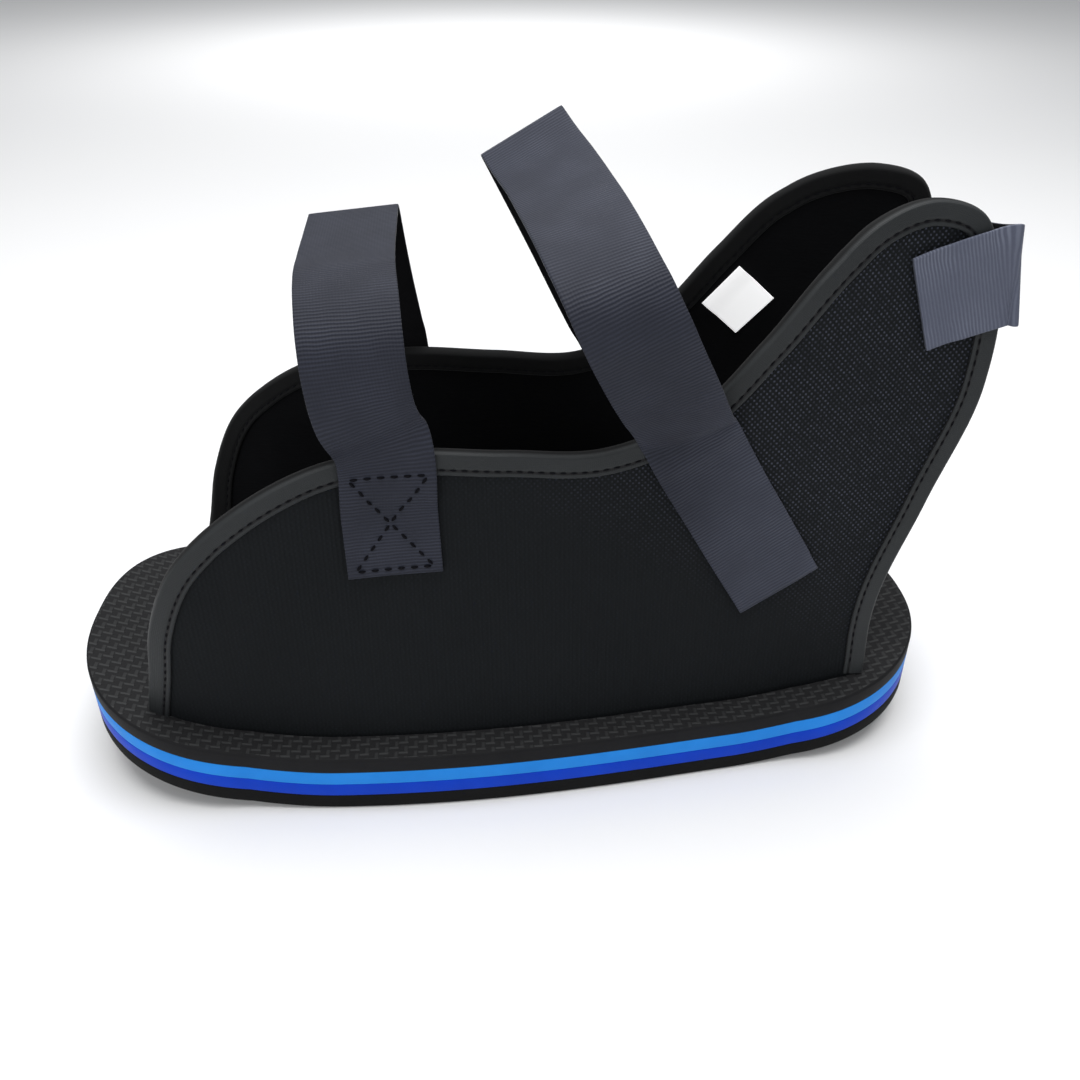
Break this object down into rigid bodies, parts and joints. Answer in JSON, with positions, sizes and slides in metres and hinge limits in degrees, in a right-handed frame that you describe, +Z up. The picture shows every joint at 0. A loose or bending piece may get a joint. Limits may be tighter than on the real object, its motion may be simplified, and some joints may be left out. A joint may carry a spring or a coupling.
{
  "type": "cast shoe",
  "caption": "Rocker-soled cast shoe with a canvas sling open at toe and heel, taped edges and three webbing straps.",
  "frame": {"origin": "on the floor, under the middle of the whole shoe's length and width", "axes": "+Z up, -X towards the toe and +X towards the heel, -Y towards the wearer's left side"},
  "size_m": [0.3038, 0.132, 0.2071],
  "materials": {
    "outsole_rubber": "matt black, slightly rough sheet",
    "royal_foam": "smooth cut foam, satin",
    "light_blue_foam": "smooth cut foam, satin",
    "footbed_foam": "embossed foam with a fine basket pattern",
    "canvas": "plain woven canvas over thin padding",
    "edge_tape": "woven satin tape with a sewn edge",
    "webbing": "ribbed polyester webbing",
    "label_cloth": "plain white satin label"
  },
  "bodies": {
    "root": {"outsole": "outsole_rubber", "midsole_royal_blue": "royal_foam", "midsole_light_blue": "light_blue_foam", "footbed": "footbed_foam", "upper_sling": "canvas", "binding_left": "edge_tape", "binding_right": "edge_tape", "front_strap": "webbing", "instep_strap": "webbing", "heel_strap": "webbing", "blank_label": "label_cloth"}
  },
  "joints": []
}
